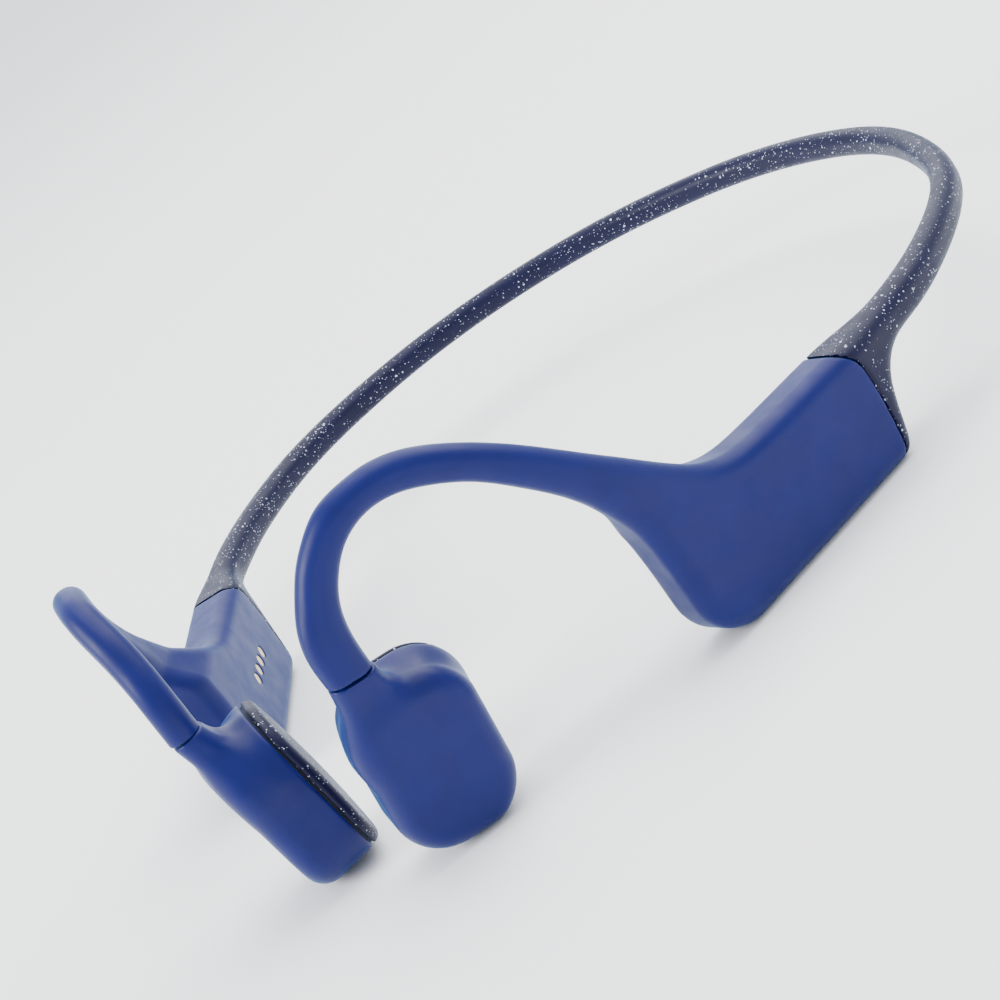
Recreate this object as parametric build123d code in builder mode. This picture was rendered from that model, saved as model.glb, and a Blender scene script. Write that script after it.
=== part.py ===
from build123d import *
import os
from math import cos, radians, sin, tan

# Bone conduction headphones: two over-moulded ear hooks with pods, joined by a sprung neckband.
# Millimetres. +Z is up, +Y is the wearer's back, +X is the wearer's left. The pods stand on Z = 0.
# Every piece is made on the wearer's left, and the right-hand one is its mirror image about X = 0.

# --- pods ---
POD_CENTRE = Vector(49.75, -27.4, 0)  # under the middle of the left pod
TOE_IN = 26  # the pods close towards the front
POD_FRONT = -20.5  # all "along" places are measured from POD_CENTRE, to the rear
POD_HEIGHT = 18.3
POD_THICK = 8.8
POD_EDGE = 2.8  # rounding of the pod's long edges
POD_FRONT_TOP = 19.1  # the pod's top falls a little from front to rear
LOW_CORNER = 7.2
HIGH_CORNER = 4.0
COLLAR_LENGTH = 29.2  # where the collar becomes the neckband
SEAM_FOOT = 18.2  # where the seam with the neckband's collar meets the pod's bottom
SEAM_TOP = 19.4
SKIN = 1.0  # soft over-mould
CASE_WALL = 0.8
GAP = 0.05  # between pieces that are pressed or glued together

# --- transducers ---
SHELL_SIZE = (17.9, 25.1)  # across and along the outer face
SHELL_CORNER = 7.2
SHELL_DEPTH = 9.6
SHELL_EDGE = 3.0
SHELL_WALL = 1.1
SEAL_DEPTH = 0.3
PAD_DEPTH = 2.0
PAD_EDGE = 1.4
FACING = -45  # plan angle of the outer face's normal
TILT = -6.5  # the outer face looks slightly down
DRIVE_Y = -2.0  # centre of the drive unit in the shell

# --- hook and neckband ---
HOOK_END = Vector(14.5, -74.7, 28.9)  # seam between the hook and the transducer
WIRE_R = 0.5
CABLE_R = 0.45
BORE_PLAY = 0.06
CORE_OFFSET = 0.9  # wire and cable lie this far either side of the centre line
CORE_END = 12.0  # where the neckband's wire and cable end inside the pod
CORE_HEIGHT = 15.2
HOOK_CORE_PLACE = -14.6  # where the hook's wire and cable come down into the pod
HOOK_CORE_FOOT = 10.9
CORE_IN_SHELL = 7.0  # how far they reach into the transducer
BAND_BACK = 76.8  # centre line at the nape
BAND_RISE = 16.5  # its height there
BAND_TALL = 4.3  # at the nape
BAND_THICK = 3.7
BAND_END_TALL = 5.7  # where it leaves the collar
BAND_END_THICK = 5.2
NAPE_RUN = 5.0  # the wire and cable lie square to X = 0 over this length

# --- right pod ---
BUTTON_SIZE = (4.4, 3.0)
BUTTON_PITCH = 5.6
BUTTON_MIDDLE = 2.0
BUTTON_SINK = 0.3  # the caps stay this far inside the pod's bottom
CONTACT_PITCH = 3.08
CONTACT_MIDDLE = 3.6
CONTACT_HEIGHT = 9.2
BOARD_FACE = -0.8  # outward face of the board, measured from the pod's middle plane

os.makedirs("parts", exist_ok=True)

along = Vector(sin(radians(TOE_IN)), cos(radians(TOE_IN)), 0)
pod_out = Vector(cos(radians(TOE_IN)), -sin(radians(TOE_IN)), 0)
pod_plane = Plane(origin=POD_CENTRE, x_dir=along, z_dir=pod_out)
seam_lean = along * (SEAM_TOP - SEAM_FOOT) + Vector(0, 0, POD_HEIGHT)  # from the seam's foot to its top
seam_plane = Plane(origin=POD_CENTRE + along * SEAM_FOOT, x_dir=pod_out * -1, z_dir=seam_lean.cross(pod_out))

shell_out = Vector(
    cos(radians(TILT)) * cos(radians(FACING)), cos(radians(TILT)) * sin(radians(FACING)), sin(radians(TILT))
)
shell_down = Vector(-0.155, 0, -0.988)
shell_down = (shell_down - shell_out * shell_down.dot(shell_out)).normalized()
shell_across = shell_out.cross(shell_down)
NECK_X = -4.45  # the hook meets the shell off its centre
NECK_Y = 16.04
NECK_Z = 7.3
shell_plane = Plane(
    origin=HOOK_END - shell_across * NECK_X + shell_down * NECK_Y - shell_out * NECK_Z,
    x_dir=shell_across,
    z_dir=shell_out,
)


def in_pod(x, y, z=0.0):
    """A point given along, up and outwards in the left pod."""
    return pod_plane.from_local_coords(Vector(x, y, z))


def in_shell(x, y, z=0.0):
    """A point given across, up and outwards in the left transducer."""
    return shell_plane.from_local_coords(Vector(x, y, z))


def write(part, name):
    """Labels a finished piece and writes its STEP file."""
    part.label = name
    export_step(part, f"parts/{name}.step")


def write_pair(part, name):
    """Writes the left piece and its mirror image on the right."""
    write(part, f"left_{name}")
    with BuildPart() as other_side:
        mirror(part, about=Plane.YZ)
    write(other_side.part, f"right_{name}")


def write_right(part, name):
    """Writes a piece of the right side only, made in the left side's place."""
    with BuildPart() as other_side:
        mirror(part, about=Plane.YZ)
    write(other_side.part, name)


def tube(points, radius):
    """A round bar along straight runs joined by arcs, each as large as its runs allow."""
    radii = []
    for before, corner, after in zip(points, points[1:], points[2:]):
        turn = (corner - before).get_angle(after - corner)
        run = min((corner - before).length, (after - corner).length)
        radii.append(0.45 * run / tan(radians(turn) / 2))
    with BuildPart() as bar:
        with BuildLine() as route:
            FilletPolyline(*points, radius=radii)
        with BuildSketch(Plane(origin=route.line @ 0, z_dir=route.line % 0)):
            Circle(radius)
        sweep(path=route.line)
    return bar.part


# --- centre lines ---
# Hook sections: centre, plan angle of the outward side, width in the hook's plane, thickness.
HOOK_SECTIONS = (
    (HOOK_END, -45, 6.6, 4.7),
    (Vector(15.7, -74.4, 34.9), -45, 6.2, 4.6),
    (Vector(17.4, -73.1, 40.2), -45, 5.9, 4.6),
    (Vector(20.4, -70.3, 44.6), -45, 5.6, 4.6),
    (Vector(24.7, -66.1, 47.0), -44, 5.3, 4.6),
    (Vector(29.7, -61.4, 45.7), -42, 5.4, 4.7),
    (Vector(35.7, -55.6, 40.4), -38, 5.7, 4.8),
    (Vector(40.9, -49.2, 31.6), -33, 7.0, 5.0),
    (Vector(43.0, -44.6, 24.4), -28, 10.0, 6.2),
    (in_pod(HOOK_CORE_PLACE, 17.4), -TOE_IN, 12.2, 8.0),
)
hook_centres = [section[0] for section in HOOK_SECTIONS]


def hook_direction(index):
    """The hook's direction at one of its sections."""
    before = hook_centres[max(index - 1, 0)]
    after = hook_centres[min(index + 1, len(hook_centres) - 1)]
    if index == 0:
        return shell_down * -1
    if index == len(hook_centres) - 1:
        return Vector(0, 0, -1)
    return (after - before).normalized()


def hook_outward(index):
    """The hook's outward side at one of its sections, square to its direction."""
    angle = radians(HOOK_SECTIONS[index][1])
    side = Vector(cos(angle), sin(angle), 0)
    direction = hook_direction(index)
    return (side - direction * side.dot(direction)).normalized()


def hook_core(offset):
    """Points of the wire or cable inside the hook, from the transducer to the pod."""
    points = [HOOK_END + shell_down * CORE_IN_SHELL - shell_across * offset]
    for index in range(1, len(hook_centres)):
        inward = hook_outward(index).cross(hook_direction(index))
        points.append(hook_centres[index] + inward * offset)
    points.append(in_pod(HOOK_CORE_PLACE + offset, HOOK_CORE_FOOT))
    return points


BAND_POINTS = (
    in_pod(COLLAR_LENGTH, CORE_HEIGHT),
    Vector(64.6, 8, 15.35),
    Vector(65.5, 20, 15.55),
    Vector(63.6, 34, 15.8),
    Vector(57.1, 47, 16.1),
    Vector(46.2, 60, 16.3),
    Vector(30, 70.3, BAND_RISE),
    Vector(14, 75.5, BAND_RISE),
)
with BuildLine() as whole_band:
    Spline(
        *BAND_POINTS,
        Vector(0, BAND_BACK, BAND_RISE),
        *[Vector(-point.X, point.Y, point.Z) for point in reversed(BAND_POINTS)],
        tangents=(along, Vector(along.X, -along.Y, 0)),
    )
BAND_STEPS = 10


def band_place(share):
    """Centre and heading of the left half of the neckband, from the collar at 0 to the nape at 1."""
    if share == 1:
        return Vector(0, BAND_BACK, BAND_RISE), Vector(-1, 0, 0)
    return whole_band.line @ (share / 2), whole_band.line % (share / 2)


def band_core(offset):
    """Points of the wire or cable inside the neckband, from the pod to the nape."""
    rise = Vector(0, 0, offset)
    points = [in_pod(CORE_END, CORE_HEIGHT) + rise]
    points += [band_place(step / BAND_STEPS)[0] + rise for step in range(BAND_STEPS)]
    points.append(Vector(NAPE_RUN, BAND_BACK, BAND_RISE) + rise)
    points.append(Vector(0, BAND_BACK, BAND_RISE) + rise)
    return points


# --- skin, wire and cable of the hook ---
with BuildPart() as hook_wire:
    add(tube(hook_core(-CORE_OFFSET), WIRE_R))
with BuildPart() as hook_cable:
    add(tube(hook_core(CORE_OFFSET), CABLE_R))
with BuildPart() as band_wire:
    add(tube(band_core(-CORE_OFFSET), WIRE_R))
with BuildPart() as band_cable:
    add(tube(band_core(CORE_OFFSET), CABLE_R))
bores = [
    tube(hook_core(-CORE_OFFSET), WIRE_R + BORE_PLAY),
    tube(hook_core(CORE_OFFSET), CABLE_R + BORE_PLAY),
    tube(band_core(-CORE_OFFSET), WIRE_R + BORE_PLAY),
    tube(band_core(CORE_OFFSET), CABLE_R + BORE_PLAY),
]

with BuildSketch(pod_plane) as pod_outline:
    with BuildLine():
        Polyline(
            (POD_FRONT, 0), (SEAM_FOOT, 0), (SEAM_TOP, POD_HEIGHT), (POD_FRONT, POD_FRONT_TOP), close=True
        )
    make_face()
    fillet(pod_outline.vertices().sort_by_distance((POD_FRONT, 0))[0], LOW_CORNER)
    fillet(pod_outline.vertices().sort_by_distance((POD_FRONT, POD_HEIGHT))[0], HIGH_CORNER)


def pod_profile(inset, level=0.0):
    """The pod's side outline, smaller by the inset all round, at a level outwards from the pod's middle."""
    with BuildSketch(pod_plane.offset(level)) as profile:
        add(pod_outline.sketch_local)
        offset(amount=-inset, kind=Kind.INTERSECTION)
    return profile.sketch


OVERRUN = 30.0  # the pod's block is made longer, then cut at the seam
OVERRUN_TOP = 18.1

with BuildPart() as skin:
    with BuildSketch(pod_plane):
        with BuildLine():
            Polyline(
                (POD_FRONT, 0), (OVERRUN, 0), (OVERRUN, OVERRUN_TOP), (POD_FRONT, POD_FRONT_TOP), close=True
            )
        make_face()
    extrude(amount=POD_THICK / 2, both=True)
    front_edges = skin.edges().filter_by(Axis(POD_CENTRE, pod_out))
    fillet(front_edges.sort_by_distance(in_pod(POD_FRONT, 0))[0], LOW_CORNER)
    front_edges = skin.edges().filter_by(Axis(POD_CENTRE, pod_out))
    fillet(front_edges.sort_by_distance(in_pod(POD_FRONT, POD_HEIGHT))[0], HIGH_CORNER)
    fillet(skin.faces().filter_by(Axis(POD_CENTRE, pod_out)).edges(), POD_EDGE)
    split(bisect_by=seam_plane, keep=Keep.BOTTOM)
    for index, (centre, angle, width, thickness) in enumerate(HOOK_SECTIONS):
        outward = hook_outward(index)
        with BuildSketch(Plane(origin=centre, x_dir=outward, z_dir=hook_direction(index))):
            Ellipse(thickness / 2, width / 2)
    loft()
    extrude(pod_profile(SKIN), amount=POD_THICK / 2 - SKIN, both=True, mode=Mode.SUBTRACT)
    for bore in bores:
        add(bore, mode=Mode.SUBTRACT)
write_pair(skin.part, "hook_and_pod_skin")

write_pair(hook_wire.part, "hook_wire")
write_pair(hook_cable.part, "hook_cable")
write_pair(band_wire.part, "neckband_wire")
write_pair(band_cable.part, "neckband_cable")

# --- neckband sleeve: a collar that flares to meet the pod, then the band to the nape ---
# Collar sections: place along the pod, lowest and highest point, thickness.
COLLAR_SECTIONS = ((21.5, 3.9, 18.25, 8.2), (23.5, 8.9, 18.15, 7.2), (COLLAR_LENGTH, 12.3, 18.1, 5.3))
SECTION_ROUND = 0.46  # corner radius of a band section, as a share of its thickness

BAND_SECTIONS = 9

with BuildPart() as sleeve:
    with BuildSketch(seam_plane):
        with Locations((0, seam_lean.length / 2)):
            RectangleRounded(POD_THICK, seam_lean.length, POD_EDGE)
    for place, low, high, thick in COLLAR_SECTIONS:
        with BuildSketch(Plane(origin=in_pod(place, (low + high) / 2), x_dir=pod_out * -1, z_dir=along)):
            RectangleRounded(thick, high - low, SECTION_ROUND * thick)
    loft()
    for step in range(BAND_SECTIONS + 1):
        share = step / BAND_SECTIONS
        centre, heading = band_place(share)
        side = heading.cross(Vector(0, 0, 1)).normalized()
        swell = (1 - share) ** 3
        thick = BAND_THICK + (BAND_END_THICK - BAND_THICK) * swell
        tall = BAND_TALL + (BAND_END_TALL - BAND_TALL) * swell
        with BuildSketch(Plane(origin=centre, x_dir=side * -1, z_dir=heading)):
            RectangleRounded(thick, tall, SECTION_ROUND * thick)
    loft()
    for bore in bores[2:]:
        add(bore, mode=Mode.SUBTRACT)
write_pair(sleeve.part, "neckband_sleeve")

# --- pod case: a tub that opens outwards, with a lid ---
CASE_INSET = SKIN + GAP
CASE_HALF = POD_THICK / 2 - SKIN - GAP
ROOM_INSET = CASE_INSET + CASE_WALL
ROOM_HALF = CASE_HALF - CASE_WALL
LIP_DEPTH = 0.6
CASE_EDGE = 0.7  # rounding of the case's long edges

with BuildPart() as tub:
    extrude(pod_profile(CASE_INSET, -CASE_HALF), amount=CASE_HALF + ROOM_HALF - GAP)
    fillet(tub.faces().sort_by(Axis(POD_CENTRE, pod_out))[0].edges(), CASE_EDGE)
    extrude(pod_profile(ROOM_INSET, -ROOM_HALF), amount=2 * ROOM_HALF, mode=Mode.SUBTRACT)
    for bore in bores:
        add(bore, mode=Mode.SUBTRACT)
with BuildPart() as lid:
    extrude(pod_profile(CASE_INSET, ROOM_HALF), amount=CASE_WALL)
    fillet(lid.faces().sort_by(Axis(POD_CENTRE, pod_out))[-1].edges(), CASE_EDGE)
    extrude(pod_profile(ROOM_INSET + GAP, ROOM_HALF), amount=-LIP_DEPTH)
    extrude(pod_profile(ROOM_INSET + CASE_WALL, ROOM_HALF), amount=-LIP_DEPTH, mode=Mode.SUBTRACT)
write_pair(lid.part, "pod_case_lid")
write(tub.part, "left_pod_case")

# Blocks that clamp the wires and let the cables through: size along, up and outwards, place, inner level.
ANCHOR_PLAY = 0.02
ANCHOR_CORNER = 0.6
HOOK_ANCHOR = (5.0, 3.6, 2.8)
HOOK_ANCHOR_PLACE = (-14.8, 12.9)
HOOK_ANCHOR_LEVEL = -0.7
BAND_ANCHOR = (3.6, 5.2, 4.0)
BAND_ANCHOR_PLACE = (14.4, 13.7)
BAND_ANCHOR_LEVEL = -2.2
with BuildPart() as hook_anchor:
    with BuildSketch(pod_plane.offset(HOOK_ANCHOR_LEVEL)):
        with Locations(HOOK_ANCHOR_PLACE):
            RectangleRounded(HOOK_ANCHOR[0], HOOK_ANCHOR[1], ANCHOR_CORNER)
    extrude(amount=HOOK_ANCHOR[2])
    add(tube(hook_core(-CORE_OFFSET), WIRE_R + ANCHOR_PLAY), mode=Mode.SUBTRACT)
    add(tube(hook_core(CORE_OFFSET), CABLE_R + ANCHOR_PLAY), mode=Mode.SUBTRACT)
write_pair(hook_anchor.part, "hook_wire_anchor")
with BuildPart() as band_anchor:
    with BuildSketch(pod_plane.offset(BAND_ANCHOR_LEVEL)):
        with Locations(BAND_ANCHOR_PLACE):
            RectangleRounded(BAND_ANCHOR[0], BAND_ANCHOR[1], ANCHOR_CORNER)
    extrude(amount=BAND_ANCHOR[2])
    add(tube(band_core(-CORE_OFFSET), WIRE_R + ANCHOR_PLAY), mode=Mode.SUBTRACT)
    add(tube(band_core(CORE_OFFSET), CABLE_R + ANCHOR_PLAY), mode=Mode.SUBTRACT)
write_pair(band_anchor.part, "neckband_wire_anchor")

# --- left pod: battery ---
CELL_SIZE = (22.4, 12.6, 3.9)
CELL_PLACE = (0.6, 8.6)
CELL_CORNER = 1.2
CELL_EDGE = 0.8
PROTECTION_SIZE = (14.0, 0.9, 3.4)
PROTECTION_PLACE = (1.5, 15.75)
FOAM_DEPTH = 0.85
FOAM_MARGIN = 1.5
FOAM_CORNER = 1.0
with BuildPart() as cell:
    with BuildSketch(pod_plane.offset(-ROOM_HALF + GAP)):
        with Locations(CELL_PLACE):
            RectangleRounded(CELL_SIZE[0], CELL_SIZE[1], CELL_CORNER)
    extrude(amount=CELL_SIZE[2])
    fillet(cell.faces().filter_by(Axis(POD_CENTRE, pod_out)).edges(), CELL_EDGE)
write(cell.part, "battery_cell")
with BuildPart() as foam:
    with BuildSketch(pod_plane.offset(ROOM_HALF - GAP - FOAM_DEPTH)):
        with Locations(CELL_PLACE):
            RectangleRounded(CELL_SIZE[0] - 2 * FOAM_MARGIN, CELL_SIZE[1] - 2 * FOAM_MARGIN, FOAM_CORNER)
    extrude(amount=FOAM_DEPTH)
write(foam.part, "battery_foam_pad")
with BuildPart() as protection:
    with BuildSketch(pod_plane.offset(-PROTECTION_SIZE[2] / 2)):
        with Locations(PROTECTION_PLACE):
            Rectangle(PROTECTION_SIZE[0], PROTECTION_SIZE[1])
    extrude(amount=PROTECTION_SIZE[2])
write(protection.part, "battery_protection_board")

# --- right pod: board, switches, buttons, contacts, light ---
BOARD_THICK = 0.8
BOARD_SPAN = (-11.2, 12.3)
BOARD_RISE = (3.4, 15.2)
SWITCH_FOOT = 3.35  # height of a switch's plunger
SWITCH_SIZE = (3.4, 1.7, 1.6)
PLUNGER_R = 0.45
SWITCH_MIDDLE = 4.7
PLUNGER_LENGTH = 0.6
BUTTON_LIFT = 0.35
BUTTON_CORNER = 1.0
BUTTON_EDGE = 0.3
BUTTON_PLAY = 0.06
SKIN_PLAY = 0.2  # round the buttons where they pass through the skin
FLANGE_LEVEL = ROOM_INSET + 0.1
FLANGE_SIZE = (5.1, 3.8)
FLANGE_DEPTH = 0.5
STEM_R = 0.7
STEM_TOP = SWITCH_FOOT - BUTTON_LIFT - 0.1  # clear of the plunger when the button is pressed
CUT_MARGIN = 0.2
PROCESSOR_SIZE = (5.0, 5.0, 0.9)
PROCESSOR_PLACE = (-4.5, 11.2)
MEMORY_SIZE = (8.0, 6.0, 0.9)
MEMORY_PLACE = (5.5, 11.2)
CONTACT_R = 0.9
CONTACT_SINK = 0.15
CONTACT_HEAD = 0.8
CONTACT_PIN_R = 0.5
PIN_PLAY = 0.02
CARRIER_SIZE = (3 * CONTACT_PITCH + 2.6, 3.2, 0.7)
LIGHT_PLACE = -9.9
LIGHT_R = 0.58
LIGHT_SINK = 0.25
LIGHT_LENGTH = 2.75
LIGHT_SIZE = (1.6, 1.1, 1.4)
button_places = [BUTTON_MIDDLE + (index - 1.5) * BUTTON_PITCH for index in range(4)]
contact_places = [CONTACT_MIDDLE + (index - 1.5) * CONTACT_PITCH for index in range(4)]
board_back = BOARD_FACE - BOARD_THICK
underside = Plane(origin=POD_CENTRE, x_dir=along, z_dir=(0, 0, 1))

with BuildPart() as board:
    with BuildSketch(pod_plane.offset(board_back)):
        with Locations((sum(BOARD_SPAN) / 2, sum(BOARD_RISE) / 2)):
            RectangleRounded(BOARD_SPAN[1] - BOARD_SPAN[0], BOARD_RISE[1] - BOARD_RISE[0], BOARD_THICK)
    extrude(amount=BOARD_THICK)
write_right(board.part, "main_board")
with BuildPart() as processor:
    with BuildSketch(pod_plane.offset(BOARD_FACE)):
        with Locations(PROCESSOR_PLACE):
            Rectangle(PROCESSOR_SIZE[0], PROCESSOR_SIZE[1])
    extrude(amount=PROCESSOR_SIZE[2])
write_right(processor.part, "processor_chip")
with BuildPart() as memory:
    with BuildSketch(pod_plane.offset(BOARD_FACE)):
        with Locations(MEMORY_PLACE):
            Rectangle(MEMORY_SIZE[0], MEMORY_SIZE[1])
    extrude(amount=MEMORY_SIZE[2])
write_right(memory.part, "memory_chip")

with BuildPart() as switches:
    with BuildSketch(pod_plane.offset(BOARD_FACE)):
        with Locations(*[(place, SWITCH_MIDDLE) for place in button_places]):
            Rectangle(SWITCH_SIZE[0], SWITCH_SIZE[1])
    extrude(amount=SWITCH_SIZE[2])
    with BuildSketch(underside.offset(SWITCH_FOOT)):
        with Locations(*[(place, 0) for place in button_places]):
            Circle(PLUNGER_R)
    extrude(amount=PLUNGER_LENGTH)
write_right(switches.part, "tactile_switches")

with BuildPart() as tub_with_buttons:
    add(tub.part)
    with BuildSketch(underside):
        with Locations(*[(place, 0) for place in button_places]):
            RectangleRounded(
                BUTTON_SIZE[0] + 2 * BUTTON_PLAY,
                BUTTON_SIZE[1] + 2 * BUTTON_PLAY,
                BUTTON_CORNER + BUTTON_PLAY,
            )
        with Locations((LIGHT_PLACE, 0)):
            Circle(LIGHT_R + PIN_PLAY * 2)
    extrude(amount=ROOM_INSET + CUT_MARGIN, mode=Mode.SUBTRACT)
    with BuildSketch(pod_plane.offset(-POD_THICK / 2)):
        with Locations(*[(place, CONTACT_HEIGHT) for place in contact_places]):
            Circle(CONTACT_PIN_R + PIN_PLAY)
    extrude(amount=POD_THICK / 2, mode=Mode.SUBTRACT)
write_right(tub_with_buttons.part, "right_pod_case")

with BuildPart() as skin_with_buttons:
    add(skin.part)
    with BuildSketch(underside):
        with Locations(*[(place, 0) for place in button_places]):
            RectangleRounded(
                BUTTON_SIZE[0] + 2 * SKIN_PLAY, BUTTON_SIZE[1] + 2 * SKIN_PLAY, BUTTON_CORNER + SKIN_PLAY
            )
        with Locations((LIGHT_PLACE, 0)):
            Circle(LIGHT_R + 0.07)
    extrude(amount=SKIN + CUT_MARGIN, mode=Mode.SUBTRACT)
    with BuildSketch(pod_plane.offset(-POD_THICK / 2)):
        with Locations(*[(place, CONTACT_HEIGHT) for place in contact_places]):
            Circle(CONTACT_R + BUTTON_PLAY)
    extrude(amount=SKIN + CUT_MARGIN, mode=Mode.SUBTRACT)
write_right(skin_with_buttons.part, "right_hook_and_pod_skin")

for place, name in zip(button_places, ("volume_up", "volume_down", "play", "mode")):
    with BuildPart() as button:
        with BuildSketch(underside.offset(BUTTON_SINK)):
            with Locations((place, 0)):
                RectangleRounded(BUTTON_SIZE[0], BUTTON_SIZE[1], BUTTON_CORNER)
        extrude(amount=FLANGE_LEVEL + CUT_MARGIN - BUTTON_SINK)
        fillet(button.faces().sort_by(Axis.Z)[0].edges(), BUTTON_EDGE)
        with BuildSketch(underside.offset(FLANGE_LEVEL)):
            with Locations((place, 0)):
                RectangleRounded(FLANGE_SIZE[0], FLANGE_SIZE[1], BUTTON_CORNER)
        extrude(amount=FLANGE_DEPTH)
        with BuildSketch(underside.offset(FLANGE_LEVEL + FLANGE_DEPTH - 0.1)):
            with Locations((place, 0)):
                Circle(STEM_R)
        extrude(amount=STEM_TOP - FLANGE_LEVEL - FLANGE_DEPTH + 0.1)
    write_right(button.part, f"{name}_button")

contact_back = -POD_THICK / 2 + CONTACT_SINK + CONTACT_HEAD
with BuildPart() as contacts:
    with BuildSketch(pod_plane.offset(-POD_THICK / 2 + CONTACT_SINK)):
        with Locations(*[(place, CONTACT_HEIGHT) for place in contact_places]):
            Circle(CONTACT_R)
    extrude(amount=CONTACT_HEAD)
    with BuildSketch(pod_plane.offset(contact_back)):
        with Locations(*[(place, CONTACT_HEIGHT) for place in contact_places]):
            Circle(CONTACT_PIN_R)
    extrude(amount=board_back - GAP - contact_back)
write_right(contacts.part, "charging_contacts")
with BuildPart() as carrier:
    with BuildSketch(pod_plane.offset(-ROOM_HALF + GAP)):
        with Locations((CONTACT_MIDDLE, CONTACT_HEIGHT)):
            RectangleRounded(CARRIER_SIZE[0], CARRIER_SIZE[1], 1)
        with Locations(*[(place, CONTACT_HEIGHT) for place in contact_places]):
            Circle(CONTACT_PIN_R + PIN_PLAY, mode=Mode.SUBTRACT)
    extrude(amount=CARRIER_SIZE[2])
write_right(carrier.part, "contact_carrier")

with BuildPart() as light_pipe:
    with BuildSketch(underside.offset(LIGHT_SINK)):
        with Locations((LIGHT_PLACE, 0)):
            Circle(LIGHT_R)
    extrude(amount=LIGHT_LENGTH)
write_right(light_pipe.part, "light_pipe")
with BuildPart() as light:
    with BuildSketch(pod_plane.offset(BOARD_FACE)):
        with Locations((LIGHT_PLACE, SWITCH_FOOT + 0.3)):
            Rectangle(LIGHT_SIZE[0], LIGHT_SIZE[1])
    extrude(amount=LIGHT_SIZE[2])
write_right(light.part, "status_light")

# --- transducer: shell, seal, pad and drive unit ---
with BuildSketch(shell_plane) as shell_outline:
    RectangleRounded(SHELL_SIZE[0], SHELL_SIZE[1], SHELL_CORNER)


def shell_profile(inset, level):
    """The shell's outline, smaller by the inset all round, at a level out from the pad's seam."""
    with BuildSketch(shell_plane.offset(level)) as profile:
        add(shell_outline.sketch_local)
        offset(amount=-inset)
    return profile.sketch


def drive_ring(inner, outer, low, high):
    """A ring or disc about the drive unit's axis, between two levels."""
    with BuildPart() as ring:
        with BuildSketch(shell_plane.offset(low)):
            with Locations((0, DRIVE_Y)):
                Circle(outer)
                if inner:
                    Circle(inner, mode=Mode.SUBTRACT)
        extrude(amount=high - low)
    return ring.part


# Neck sections: distance below the seam with the hook, width, depth, and shift outwards.
NECK_SECTIONS = ((0, 6.6, 4.7, 0), (4.0, 8.0, 5.4, -0.4), (8.6, 11.5, 7.0, -1.0))
NECK_LEAN = 0.3
PLUG_START = 3.2
PLUG_SIZE = (4.6, 2.2, 3.4)
PLUG_CORNER = 0.9
with BuildPart() as shell:
    extrude(shell_profile(0, SEAL_DEPTH), amount=SHELL_DEPTH - SEAL_DEPTH)
    fillet(shell.faces().sort_by(Axis(shell_plane.origin, shell_out))[-1].edges(), SHELL_EDGE)
    for down, width, depth, outward in NECK_SECTIONS:
        centre = HOOK_END + shell_down * down + shell_out * outward + shell_across * (NECK_LEAN * down)
        with BuildSketch(Plane(origin=centre, x_dir=shell_across, z_dir=shell_down)):
            Ellipse(width / 2, depth / 2)
    loft()
    extrude(shell_profile(SHELL_WALL, 0), amount=SHELL_DEPTH - SHELL_WALL, mode=Mode.SUBTRACT)
    with BuildSketch(Plane(origin=HOOK_END + shell_down * PLUG_START, x_dir=shell_across, z_dir=shell_down)):
        RectangleRounded(PLUG_SIZE[0], PLUG_SIZE[1], PLUG_CORNER)
    extrude(amount=PLUG_SIZE[2])
    for bore in bores[:2]:
        add(bore, mode=Mode.SUBTRACT)
write_pair(shell.part, "transducer_shell")

SEAL_INSET = 0.5
PAD_INSET = 0.15
PLATE_INSET = SHELL_WALL + 0.8  # the drive's plate sits in a pocket behind the pad
PLATE_DEPTH = 0.9
with BuildPart() as seal:
    extrude(shell_profile(SEAL_INSET, 0), amount=SEAL_DEPTH)
    extrude(shell_profile(SHELL_WALL, 0), amount=SEAL_DEPTH, mode=Mode.SUBTRACT)
write_pair(seal.part, "transducer_seal")

with BuildPart() as pad:
    extrude(shell_profile(PAD_INSET, 0), amount=-PAD_DEPTH)
    fillet(pad.faces().sort_by(Axis(shell_plane.origin, shell_out))[0].edges(), PAD_EDGE)
    extrude(shell_profile(PLATE_INSET - GAP, 0), amount=-PLATE_DEPTH, mode=Mode.SUBTRACT)
write_pair(pad.part, "contact_pad")

# Levels and radii of the drive unit, outwards from the pad's seam and about its axis.
SPRING_LEVEL = 7.0
SPRING_HALF = 0.1
RING_INNER = 6.75
RING_OUTER = 7.4
COIL = (4.35, 4.85, 0.2, 4.4)
YOKE_OUTER = 6.2
YOKE_INNER = 5.2
YOKE_LEVELS = (1.6, 5.6, 6.4)
MAGNET_R = 4.05
MAGNET_LEVELS = (2.2, 3.2, 5.6)
RIVET_R = 1.0
RIVET_HEAD_R = 1.6
RIVET_LEVELS = (6.4, 7.4, 7.8)
SLOT_RADII = (3.2, 5.2)
SLOT_WIDTH = 0.7
SLOT_ARC = 80

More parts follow.
